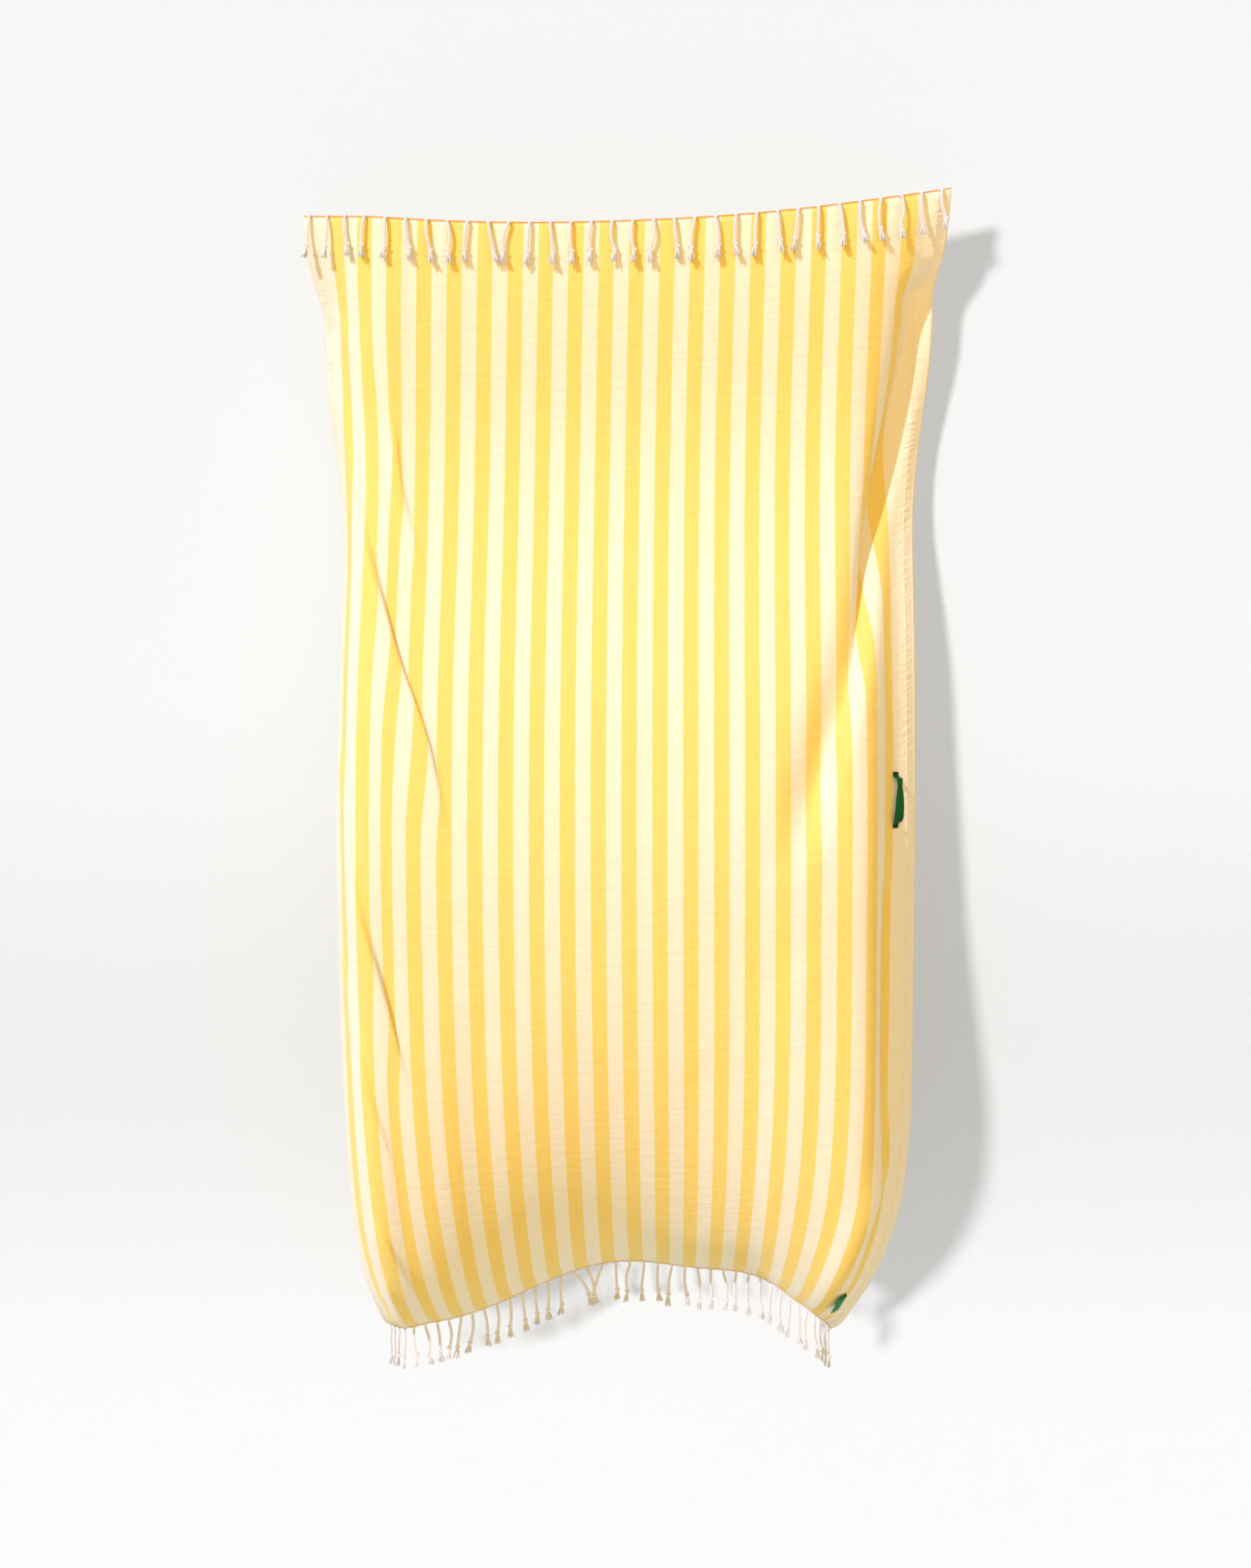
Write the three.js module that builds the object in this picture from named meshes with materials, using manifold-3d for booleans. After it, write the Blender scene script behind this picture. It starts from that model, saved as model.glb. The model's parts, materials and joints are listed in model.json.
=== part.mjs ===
// A flat-woven cotton beach towel with a knotted fringe.
// It hangs by its two top corners and a breeze fills it.
// Millimetres, +Z up, the front faces -Y, the origin is midway between the two top corners.
// The cloth never stretches: every point is placed by walking the real cloth lengths across and down.
import * as THREE from 'three';
import { mergeVertices } from 'three/addons/utils/BufferGeometryUtils.js';
import Module from 'manifold-3d';

const wasm = await Module();
wasm.setup();

// The cloth as it is cut.
const CLOTH_WIDTH = 1000;
const CLOTH_LENGTH = 1840;
const CLOTH_THICKNESS = 1.5;
const HEM_WIDTH = 20;

// How it hangs from its corners. A share is a place down the cloth, from 0 at the top to 1 at the bottom.
const TOP_SAG = 36;
const SAG_POWER = 2.2;
const RIGHT_CORNER_RISE = 34;
const CENTRE_DRIFT = -13;

// The breeze: how far the middle stands forward, and how its lower part is swept back.
const TOP_HOLLOW = 42;
const HOLLOW_END = 0.44;
const BELLY = 58;
const BELLY_SHARES = [0.12, 0.56];
const TAIL_SWEEP = 430;
const TAIL_START = 0.47;
const TAIL_POWER = 2.3;

// How the sides turn back, in radians at shares of the length, and how far in from the edge they start.
const LEFT_TURN = [[0, 0.4], [0.1, 0.85], [0.3, 1.2], [0.8, 1.2], [1, 1]];
const RIGHT_TURN = [[0, 0.12], [0.1, 0.5], [0.3, 1.15], [0.8, 1.2], [1, 1.1]];
const SIDE_REACH = 165;
const BOTTOM_REACH = 140;
const REACH_CHANGE = [0.7, 1];
const TURN_DONE = 0.6;
const LEFT_EDGE_TURN = 0.22;
const LEFT_EDGE_REACH = 60;

// Down the middle of the right side the hem band turns part of the way back to the front.
const RIGHT_EDGE_LIFT = 0.42;
const LIFT_FROM_EDGE = [95, 30];
const LIFT_STARTS = [0.1, 0.3];
const LIFT_ENDS = [0.75, 0.95];

// The lower part is a bowl, and the bottom corners are drawn inwards and pulled down by their own weight.
const BOWL = 0.55;
const BOWL_REACH = 400;
const BOWL_SHARES = [0.6, 1];
const LEFT_CORNER = { inward: 42, drop: 40 };
const RIGHT_CORNER = { inward: 90, drop: 110 };
const INWARD_HALVES = [0.45, 1];
const INWARD_SHARES = [0.82, 1.06];
const DROP_SHARES = [0.6, 1];
const DROP_POWER = 6;
const ARCH_RISE = 36;
const ARCH_AT = 240;
const ARCH_REACH = 110;

// Sewing thread and ribbon.
const THREAD = 1.2;
const THREAD_GAP = 0.7;
const SIDE_THREAD_MARGIN = 12;
const RIBBON_THICKNESS = 1;
const LOOP_WIDTH = 12;
const LOOP_SPAN = 66;
const LOOP_HEIGHT = 13;
const LOOP_STEPS = 14;
const LOOP_FROM_EDGE = 46;
const LOOP_DOWN = 940;
const LOOP_LIFT = 5.5;
const LOOP_TAB = 9;
const TAB_GAP = 0.7;
const LABEL_LENGTH = 42;
const LABEL_DEPTH = 16;
const LABEL_THICKNESS = 1.6;
const LABEL_FROM_EDGE = 75;
const LABEL_FROM_BOTTOM = 105;
const LABEL_LIFT = 4.5;

// Fringe: twisted cords, each with a knot and a brushed tip, made in neighbouring pairs.
const TOP_PAIRS = 16;
const BOTTOM_PAIRS = 21;
const TOP_TASSEL = 64;
const BOTTOM_TASSEL = 62;
const CORD_RADIUS = 1.9;
const KNOT_RADIUS = 3.2;
const TIP_RADIUS = 4.6;
const TIP_SHARE = 0.3;
const END_ROUNDING = 2;
const ROOT_BAR_RADIUS = 1.5;
const ROOT_GAP = 1;
const BOTTOM_ROOT_DROP = 5.5;
const TASSEL_SIDES = 6;
const LEAN_SHARE = 0.24;
const LEAN_STEP = 2.4;

// Fineness of the mesh.
const COLUMNS = 26;
const ROWS = 40;
const STEP = 5;
const STEEPEST = 0.12;
const DIRECTION_REACH = 12;

const smooth = (low, high, value) => THREE.MathUtils.smoothstep(value, low, high);

/** The value of a [share, value] list at a share of the length, eased between its stations. */
function along(list, share) {
  const next = list.findIndex(([at]) => at >= share);
  if (next <= 0) return list[next === 0 ? 0 : list.length - 1][1];
  const [from, low] = list[next - 1];
  const [to, high] = list[next];
  return low + (high - low) * smooth(from, to, share);
}

/** How far the middle of the cloth stands forward at a share of the length. */
function forward(share) {
  const hollow = -TOP_HOLLOW * Math.sin(Math.PI * Math.min(1, share / HOLLOW_END)) ** 2;
  const tail = Math.max(0, (share - TAIL_START) / (1 - TAIL_START)) ** TAIL_POWER;
  return hollow + BELLY * smooth(...BELLY_SHARES, share) - TAIL_SWEEP * tail;
}

/** The share of its turn that the outer band of the left side adds and that of the right side gives back. */
function bandTurn(a, share) {
  if (a < 0) return LEFT_EDGE_TURN * smooth(CLOTH_WIDTH / 2 - LEFT_EDGE_REACH, CLOTH_WIDTH / 2, -a);
  const [start, full] = LIFT_FROM_EDGE.map((inward) => CLOTH_WIDTH / 2 - inward);
  const active = smooth(...LIFT_STARTS, share) * (1 - smooth(...LIFT_ENDS, share));
  return -RIGHT_EDGE_LIFT * smooth(start, full, a) * active;
}

/** The angle by which the cloth has turned away from the front at a distance a from its middle line. */
function turn(a, share) {
  const most = along(a < 0 ? LEFT_TURN : RIGHT_TURN, share);
  const reach = THREE.MathUtils.lerp(SIDE_REACH, BOTTOM_REACH, smooth(...REACH_CHANGE, share));
  const side = smooth(0, TURN_DONE * reach, Math.abs(a) - (CLOTH_WIDTH / 2 - reach));
  const hump = Math.sin(Math.PI * Math.min(1, Math.abs(a) / BOWL_REACH));
  const bowl = BOWL * smooth(...BOWL_SHARES, share) * hump;
  return Math.sign(a) * (most * (side + bandTurn(a, share)) - bowl);
}

/** How far a place near a bottom corner is drawn inwards, and how far it is pulled down. */
function cornerPull(half, share) {
  const { inward, drop } = half < 0 ? LEFT_CORNER : RIGHT_CORNER;
  const rise = ARCH_RISE * Math.exp(-(((half * CLOTH_WIDTH / 2 - ARCH_AT) / ARCH_REACH) ** 2));
  return {
    x: -Math.sign(half) * inward * smooth(...INWARD_HALVES, Math.abs(half)) * smooth(...INWARD_SHARES, share),
    z: (rise - drop * Math.abs(half) ** DROP_POWER) * smooth(...DROP_SHARES, share),
  };
}

/** The middle surface as a fine table of points: rows go down the cloth and columns go across it. */
function hangCloth() {
  const across = Math.round(CLOTH_WIDTH / STEP);
  const down = Math.round(CLOTH_LENGTH / STEP);
  const da = CLOTH_WIDTH / across;
  const db = CLOTH_LENGTH / down;
  const middle = across / 2;
  const table = [];
  for (let row = 0; row <= down; row += 1) {
    const share = row / down;
    const line = new Array(across + 1);
    line[middle] = { x: CENTRE_DRIFT * Math.sin(Math.PI * share), back: 0 };
    for (const way of [-1, 1]) {
      for (let column = middle + way; column >= 0 && column <= across; column += way) {
        const angle = turn((column - way / 2 - middle) * da, share);
        const last = line[column - way];
        line[column] = {
          x: last.x + way * Math.cos(angle) * da,
          back: last.back + way * Math.sin(angle) * da,
        };
      }
    }
    table.push(line.map(({ x, back }, column) => {
      const pull = cornerPull((column - middle) / middle, share);
      return new THREE.Vector3(x + pull.x, back - forward(share), 0);
    }));
  }
  for (let column = 0; column <= across; column += 1) {
    const half = (column - middle) / middle;
    table[0][column].z = TOP_SAG * (Math.abs(half) ** SAG_POWER - 1) + RIGHT_CORNER_RISE * half / 2;
    for (let row = 1; row <= down; row += 1) {
      const above = table[row - 1][column];
      const here = table[row][column];
      const sideways = (here.x - above.x) ** 2 + (here.y - above.y) ** 2;
      here.z = above.z - Math.sqrt(Math.max(STEEPEST * db * db, db * db - sideways));
    }
    table.forEach((line, row) => { line[column].z += cornerPull(half, row / down).z; });
  }
  const origin = table[0][0].clone().add(table[0][across]).divideScalar(2);
  table.forEach((line) => line.forEach((point) => point.sub(origin)));
  return { table, across, down };
}

const cloth = hangCloth();

/** The point of the middle surface a mm right of its middle line and b mm below its top edge. */
function pointAt(a, b) {
  const column = (a / CLOTH_WIDTH + 0.5) * cloth.across;
  const row = (b / CLOTH_LENGTH) * cloth.down;
  const i = THREE.MathUtils.clamp(Math.floor(column), 0, cloth.across - 1);
  const j = THREE.MathUtils.clamp(Math.floor(row), 0, cloth.down - 1);
  const upper = cloth.table[j][i].clone().lerp(cloth.table[j][i + 1], column - i);
  const lower = cloth.table[j + 1][i].clone().lerp(cloth.table[j + 1][i + 1], column - i);
  return upper.lerp(lower, row - j);
}

/** Unit directions across, down and out of the front of the cloth at (a, b). */
function directionsAt(a, b) {
  const across = pointAt(a + DIRECTION_REACH, b).sub(pointAt(a - DIRECTION_REACH, b)).normalize();
  const down = pointAt(a, b + DIRECTION_REACH).sub(pointAt(a, b - DIRECTION_REACH)).normalize();
  const out = down.clone().cross(across).normalize();
  return { across, down, out };
}

/** A point standing off the front of the cloth by a height. */
function standOff(a, b, height) {
  return pointAt(a, b).addScaledVector(directionsAt(a, b).out, height);
}

/** The cloth's mesh columns: hem, even columns, hem. */
function columnPlaces() {
  const inner = CLOTH_WIDTH / 2 - HEM_WIDTH;
  const places = [-CLOTH_WIDTH / 2];
  for (let i = 0; i <= COLUMNS - 2; i += 1) places.push(-inner + (2 * inner * i) / (COLUMNS - 2));
  places.push(CLOTH_WIDTH / 2);
  return places;
}

/** The cloth's mesh rows: even rows, with one more where the side stitching starts and ends. */
function rowPlaces() {
  const places = Array.from({ length: ROWS + 1 }, (_, j) => (CLOTH_LENGTH * j) / ROWS);
  places.splice(1, 0, SIDE_THREAD_MARGIN);
  places.splice(-1, 0, CLOTH_LENGTH - SIDE_THREAD_MARGIN);
  return places;
}

const columnPlace = columnPlaces();
const rowPlace = rowPlaces();

/** Bends a segmented box onto the cloth: its x and z segments become the given places across and down. */
function wrappedBox(acrossPlaces, downPlaces, low, high) {
  const box = new THREE.BoxGeometry(1, 1, 1, acrossPlaces.length - 1, 1, downPlaces.length - 1);
  const position = box.getAttribute('position');
  for (let n = 0; n < position.count; n += 1) {
    const a = acrossPlaces[Math.round((position.getX(n) + 0.5) * (acrossPlaces.length - 1))];
    const b = downPlaces[Math.round((0.5 - position.getZ(n)) * (downPlaces.length - 1))];
    const point = standOff(a, b, position.getY(n) < 0 ? high : low);
    position.setXYZ(n, point.x, point.y, point.z);
  }
  return weld(box);
}

/** Only positions, with shared corners merged. */
function weld(geometry) {
  const plain = geometry.clone();
  plain.deleteAttribute('normal');
  plain.deleteAttribute('uv');
  const merged = mergeVertices(plain, 1e-4);
  merged.computeVertexNormals();
  return merged;
}

/** A welded geometry as a solid for joining. */
function solid(geometry) {
  const welded = weld(geometry);
  return new wasm.Manifold(new wasm.Mesh({
    numProp: 3,
    vertProperties: new Float32Array(welded.getAttribute('position').array),
    triVerts: new Uint32Array(welded.index.array),
  }));
}

/** Several touching geometries joined into one closed body. */
function joined(geometries) {
  const whole = geometries.map(solid).reduce((sum, piece) => sum.add(piece));
  const mesh = whole.getMesh();
  const geometry = new THREE.BufferGeometry();
  geometry.setAttribute('position', new THREE.BufferAttribute(mesh.vertProperties, 3));
  geometry.setIndex(new THREE.BufferAttribute(mesh.triVerts, 1));
  geometry.computeVertexNormals();
  return geometry;
}

/** One tassel from its root to its tip: cord, knot and brushed end, turned about that line. */
function tasselGeometry(root, tip) {
  const length = root.distanceTo(tip);
  const knot = length * (1 - TIP_SHARE);
  const profile = [
    [0, 0], [CORD_RADIUS, 0], [CORD_RADIUS, knot - KNOT_RADIUS], [KNOT_RADIUS, knot],
    [CORD_RADIUS, knot + KNOT_RADIUS], [TIP_RADIUS, length - END_ROUNDING], [0, length],
  ].map(([radius, reach]) => new THREE.Vector2(radius, reach));
  const lathe = new THREE.LatheGeometry(profile, TASSEL_SIDES);
  const aim = new THREE.Quaternion().setFromUnitVectors(
    new THREE.Vector3(0, 1, 0),
    tip.clone().sub(root).normalize(),
  );
  return lathe.applyQuaternion(aim).translate(root.x, root.y, root.z);
}

/** The bar of hem threads that two neighbouring tassels grow from. */
function rootBar(from, to) {
  const line = to.clone().sub(from);
  const bar = new THREE.CylinderGeometry(ROOT_BAR_RADIUS, ROOT_BAR_RADIUS, line.length(), TASSEL_SIDES);
  const aim = new THREE.Quaternion().setFromUnitVectors(
    new THREE.Vector3(0, 1, 0),
    line.clone().normalize(),
  );
  const centre = from.clone().addScaledVector(line, 0.5);
  return bar.applyQuaternion(aim).translate(centre.x, centre.y, centre.z);
}

/** How far the tassel with this number hangs from the cloth's middle line. */
function tasselPlace(number, count) {
  return CLOTH_WIDTH * ((number + 0.5) / count - 0.5);
}

/** How far a tip leans sideways: a share of the room between neighbouring tips. */
function tipLean(number, count, rootOf) {
  const before = rootOf(tasselPlace(number - 0.5, count));
  const after = rootOf(tasselPlace(number + 0.5, count));
  const room = Math.hypot(after.x - before.x, after.y - before.y) - 2 * TIP_RADIUS;
  return LEAN_SHARE * room * Math.sin(number * LEAN_STEP);
}

/** Two neighbouring tassels and their root bar, hanging from the places that rootOf gives at that edge. */
function tasselPair(pair, count, length, edge, rootOf) {
  const numbers = [2 * pair, 2 * pair + 1];
  const roots = numbers.map((number) => rootOf(tasselPlace(number, count)));
  const tassels = numbers.map((number, side) => {
    const { across } = directionsAt(tasselPlace(number, count), edge);
    const tip = roots[side].clone().addScaledVector(across, tipLean(number, count, rootOf));
    return tasselGeometry(roots[side], tip.add(new THREE.Vector3(0, 0, -length)));
  });
  return joined([...tassels, rootBar(...roots)]);
}

const frontFace = CLOTH_THICKNESS / 2;
const topRoot = (a) => onEdge(a, (place) => standOff(place, 0, frontFace + ROOT_GAP + TIP_RADIUS));
const underThread = (a) => onEdge(a, (place) => pointAt(place, CLOTH_LENGTH + THREAD_GAP + THREAD));
const bottomRoot = (a) => underThread(a).sub(new THREE.Vector3(0, 0, BOTTOM_ROOT_DROP));

/** A point beside a faceted edge: placeOf gives it at the mesh columns, and it runs straight between them. */
function onEdge(a, placeOf) {
  const next = Math.max(1, columnPlace.findIndex((place) => place >= a));
  const [low, high] = [columnPlace[next - 1], columnPlace[next]];
  return placeOf(low).lerp(placeOf(high), (a - low) / (high - low));
}

/** A thread laid along the top or bottom edge, just clear of it. */
function edgeThread(from) {
  return wrappedBox(columnPlace, [from, from + THREAD], -THREAD / 2, THREAD / 2);
}

/** A line of stitching down the front of a side hem. */
function hemStitch(side) {
  const a = side * (CLOTH_WIDTH / 2 - HEM_WIDTH);
  const low = frontFace + THREAD_GAP;
  return wrappedBox([a - THREAD / 2, a + THREAD / 2], rowPlace.slice(1, -1), low, low + THREAD / 2);
}

/** The facet of the cloth's front that holds (a, b): the point there, and unit directions down and out. */
function facetAt(a, b) {
  const next = (places, place) => places.findIndex((limit) => limit > place);
  const [i, j] = [next(columnPlace, a), next(rowPlace, b)];
  const corner = (m, n) => standOff(columnPlace[i - m], rowPlace[j - n], frontFace);
  const right = (a - columnPlace[i - 1]) / (columnPlace[i] - columnPlace[i - 1]);
  const low = (b - rowPlace[j - 1]) / (rowPlace[j] - rowPlace[j - 1]);
  const [left, rightSide] = [corner(1, 1).lerp(corner(1, 0), low), corner(0, 1).lerp(corner(0, 0), low)];
  const [top, bottom] = [corner(1, 1).lerp(corner(0, 1), right), corner(1, 0).lerp(corner(0, 0), right)];
  const across = rightSide.clone().sub(left).normalize();
  const down = bottom.clone().sub(top).normalize();
  const out = down.clone().cross(across).normalize();
  return { point: left.lerp(rightSide, right), down, out };
}

/** Lays a piece above the cloth at (a, b): its x runs down the cloth, y out of it and z towards the left. */
function ontoCloth(geometry, a, b, height) {
  const { point, down, out } = facetAt(a, b);
  const place = new THREE.Matrix4().makeBasis(down, out, down.clone().cross(out));
  const foot = point.addScaledVector(out, height);
  return geometry.applyMatrix4(place).translate(foot.x, foot.y, foot.z);
}

const loopPlace = { a: CLOTH_WIDTH / 2 - LOOP_FROM_EDGE, b: LOOP_DOWN };

/** Points along a half ellipse standing on its two feet, from the upper foot to the lower one. */
function archPoints(half, rise) {
  return Array.from({ length: LOOP_STEPS + 1 }, (_, n) => {
    const angle = (Math.PI * n) / LOOP_STEPS;
    return new THREE.Vector2(-half * Math.cos(angle), rise * Math.sin(angle));
  });
}

/** The ribbon loop: an arch of ribbon that stands on the cloth between its two sewn ends. */
function hangingLoop() {
  const outer = archPoints(LOOP_SPAN / 2, LOOP_HEIGHT);
  const inner = archPoints(LOOP_SPAN / 2 - RIBBON_THICKNESS, LOOP_HEIGHT - RIBBON_THICKNESS);
  const shape = new THREE.Shape([...outer, ...inner.reverse()]);
  const band = new THREE.ExtrudeGeometry(shape, { depth: LOOP_WIDTH, bevelEnabled: false });
  band.translate(0, 0, -LOOP_WIDTH / 2);
  return ontoCloth(weld(band), loopPlace.a, loopPlace.b, LOOP_LIFT);
}

/** One sewn end of the ribbon loop, flat on the cloth beyond the loop's foot. */
function loopTab(side) {
  const tab = new THREE.BoxGeometry(LOOP_TAB, RIBBON_THICKNESS, LOOP_WIDTH);
  const clear = LOOP_SPAN / 2 + LOOP_TAB / 2 + TAB_GAP;
  return ontoCloth(tab, loopPlace.a, loopPlace.b + side * clear, RIBBON_THICKNESS / 2 + TAB_GAP);
}

/** The care label: a folded strip of ribbon sewn on along one long edge. */
function careLabel() {
  const label = new THREE.BoxGeometry(LABEL_LENGTH, LABEL_THICKNESS, LABEL_DEPTH);
  label.translate(0, 0, LABEL_DEPTH / 2);
  const a = CLOTH_WIDTH / 2 - LABEL_FROM_EDGE;
  return ontoCloth(label, a, CLOTH_LENGTH - LABEL_FROM_BOTTOM, LABEL_LIFT);
}

const woven = new THREE.MeshStandardMaterial({ color: '#f7e6a2', roughness: 0.9, metalness: 0 });
const yellowThread = new THREE.MeshStandardMaterial({ color: '#f2c23a', roughness: 0.8, metalness: 0 });
const creamThread = new THREE.MeshStandardMaterial({ color: '#f3e8cc', roughness: 0.8, metalness: 0 });
const fringeCotton = new THREE.MeshStandardMaterial({ color: '#fbf6ea', roughness: 0.95, metalness: 0 });
const greenRibbon = new THREE.MeshStandardMaterial({ color: '#0f5a2c', roughness: 0.6, metalness: 0 });

const towel = new THREE.Group();

/** Adds one named piece to the towel. */
function add(name, geometry, material) {
  const mesh = new THREE.Mesh(geometry, material);
  mesh.name = name;
  towel.add(mesh);
}

add('towel_cloth', wrappedBox(columnPlace, rowPlace, -frontFace, frontFace), woven);
add('top_edge_thread', edgeThread(-THREAD_GAP - THREAD), yellowThread);
add('bottom_edge_thread', edgeThread(CLOTH_LENGTH + THREAD_GAP), yellowThread);
add('left_hem_stitch', hemStitch(-1), creamThread);
add('right_hem_stitch', hemStitch(1), creamThread);
add('hanging_loop', hangingLoop(), greenRibbon);
add('loop_tab_upper', loopTab(-1), greenRibbon);
add('loop_tab_lower', loopTab(1), greenRibbon);
add('care_label', careLabel(), greenRibbon);

for (let pair = 0; pair < TOP_PAIRS; pair += 1) {
  const name = `top_tassels_${String(pair + 1).padStart(2, '0')}`;
  add(name, tasselPair(pair, 2 * TOP_PAIRS, TOP_TASSEL, 0, topRoot), fringeCotton);
}

for (let pair = 0; pair < BOTTOM_PAIRS; pair += 1) {
  const name = `bottom_tassels_${String(pair + 1).padStart(2, '0')}`;
  add(name, tasselPair(pair, 2 * BOTTOM_PAIRS, BOTTOM_TASSEL, CLOTH_LENGTH, bottomRoot), fringeCotton);
}

export default towel;
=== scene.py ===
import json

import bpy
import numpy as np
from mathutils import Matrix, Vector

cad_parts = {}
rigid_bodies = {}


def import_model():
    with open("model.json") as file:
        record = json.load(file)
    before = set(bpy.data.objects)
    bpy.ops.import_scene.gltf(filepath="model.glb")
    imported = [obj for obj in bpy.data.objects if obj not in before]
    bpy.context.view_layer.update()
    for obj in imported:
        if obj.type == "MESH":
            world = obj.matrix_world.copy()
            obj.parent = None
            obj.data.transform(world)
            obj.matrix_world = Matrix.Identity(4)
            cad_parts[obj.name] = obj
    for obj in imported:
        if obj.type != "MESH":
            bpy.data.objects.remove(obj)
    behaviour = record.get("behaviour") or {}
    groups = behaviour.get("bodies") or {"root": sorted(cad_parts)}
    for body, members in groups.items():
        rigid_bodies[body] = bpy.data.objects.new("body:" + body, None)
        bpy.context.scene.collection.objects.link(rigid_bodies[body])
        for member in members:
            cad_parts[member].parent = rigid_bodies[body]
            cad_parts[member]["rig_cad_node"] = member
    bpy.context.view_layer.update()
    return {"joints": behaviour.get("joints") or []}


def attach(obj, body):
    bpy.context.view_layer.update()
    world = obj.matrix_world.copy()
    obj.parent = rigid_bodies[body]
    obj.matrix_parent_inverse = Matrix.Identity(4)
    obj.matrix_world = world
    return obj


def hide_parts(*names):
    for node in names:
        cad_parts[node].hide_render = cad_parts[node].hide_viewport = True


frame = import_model()

# A flat-woven cotton beach towel with knotted fringes, hanging by its two top corners and filled by a breeze.
# The frame is in metres. Places on the cloth are in millimetres: a runs across it from -500 at the left edge
# to 500 at the right edge, and b runs down it from 0 at the top edge to 1840 at the bottom edge.

MM = 0.001
JOINTS = {joint["name"]: joint for joint in frame["joints"]}

# The cloth as it is cut. A side hem is thicker than the rest by HEM_EXTRA, within HEM of the edge.
WIDTH, LENGTH = 1000.0, 1840.0
THICKNESS = 1.5
HEM = 20.0
HEM_EXTRA = 0.8
HEM_STEP = 2

# How it hangs. A share is a place down the cloth, from 0 at the top to 1 at the bottom. A half is a place across
# it, from -1 at the left edge to 1 at the right edge. Lengths are in millimetres and angles in radians.
TOP_SAG, SAG_POWER, CORNER_RISE = 36.0, 2.2, 34.0
CENTRE_DRIFT = -13.0
TOP_HOLLOW, HOLLOW_END = 42.0, 0.44
BELLY, BELLY_SHARES = 58.0, (0.12, 0.56)
TAIL_SWEEP, TAIL_START, TAIL_POWER = 430.0, 0.47, 2.3
LEFT_TURN = [(0, 0.4), (0.1, 0.85), (0.3, 1.2), (0.8, 1.2), (1, 1.0)]
RIGHT_TURN = [(0, 0.12), (0.1, 0.5), (0.3, 1.15), (0.8, 1.2), (1, 1.1)]
SIDE_REACH, BOTTOM_REACH, REACH_SHARES, TURN_DONE = 165.0, 140.0, (0.7, 1), 0.6
LEFT_EDGE_TURN, LEFT_EDGE_REACH = 0.22, 60.0
RIGHT_EDGE_LIFT, LIFT_FROM_EDGE = 0.42, (95.0, 30.0)
LIFT_BEGINS, LIFT_ENDS = (0.1, 0.3), (0.75, 0.95)
BOWL, BOWL_REACH = 0.55, 400.0
LOWER_SHARES = (0.6, 1)
INWARD, INWARD_HALVES, INWARD_SHARES = (42.0, 90.0), (0.45, 1), (0.82, 1.06)
DROP, DROP_POWER = (40.0, 110.0), 6
ARCH_RISE, ARCH_AT, ARCH_REACH = 36.0, 240.0, 110.0
STEEPEST = 0.12

# Stripes: twenty yellow ones, with cream ones of the same width between them.
STRIPE = 23.0
FIRST_STRIPE = -448.5

# Fringes: how many tassels, how long they are, how far their roots stand off the cloth, and how much is tip.
TOP_COUNT, BOTTOM_COUNT = 32, 42
TOP_TASSEL, BOTTOM_TASSEL = 64.0, 62.0
ROOT_OUT, ROOT_DROP = 6.35, 7.4
TIP_SHARE = 0.3

# Where the ribbon loop and the care label are sewn on.
LOOP_A, LOOP_B = WIDTH / 2 - 46, 940.0
LABEL_A, LABEL_B = WIDTH / 2 - 75, LENGTH - 105


def smooth(low, high, value):
    """0 below low and 1 above high, with an S-shaped rise 3t^2 - 2t^3 between them."""
    t = np.clip((value - low) / (high - low), 0, 1)
    return t * t * (3 - 2 * t)


def along(stations, share):
    """The value of a list of (share, value) stations, eased from each one to the next."""
    value = np.full_like(share, stations[0][1])
    for (start, low), (end, high) in zip(stations, stations[1:]):
        value = value + (high - low) * smooth(start, end, share)
    return value


def turn(a, share):
    """The angle in radians by which the cloth has turned away from the front at a distance a from its middle."""
    half = WIDTH / 2
    most = np.where(a < 0, along(LEFT_TURN, share), along(RIGHT_TURN, share))
    reach = SIDE_REACH + (BOTTOM_REACH - SIDE_REACH) * smooth(*REACH_SHARES, share)
    side = smooth(0, 1, (np.abs(a) - half + reach) / (TURN_DONE * reach))
    left_band = LEFT_EDGE_TURN * smooth(half - LEFT_EDGE_REACH, half, -a)
    lift = smooth(half - LIFT_FROM_EDGE[0], half - LIFT_FROM_EDGE[1], a)
    lift = lift * smooth(*LIFT_BEGINS, share) * (1 - smooth(*LIFT_ENDS, share))
    band = np.where(a < 0, left_band, -RIGHT_EDGE_LIFT * lift)
    bowl = BOWL * smooth(*LOWER_SHARES, share) * np.sin(np.pi * np.minimum(1, np.abs(a) / BOWL_REACH))
    return np.sign(a) * (most * (side + band) - bowl)


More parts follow.
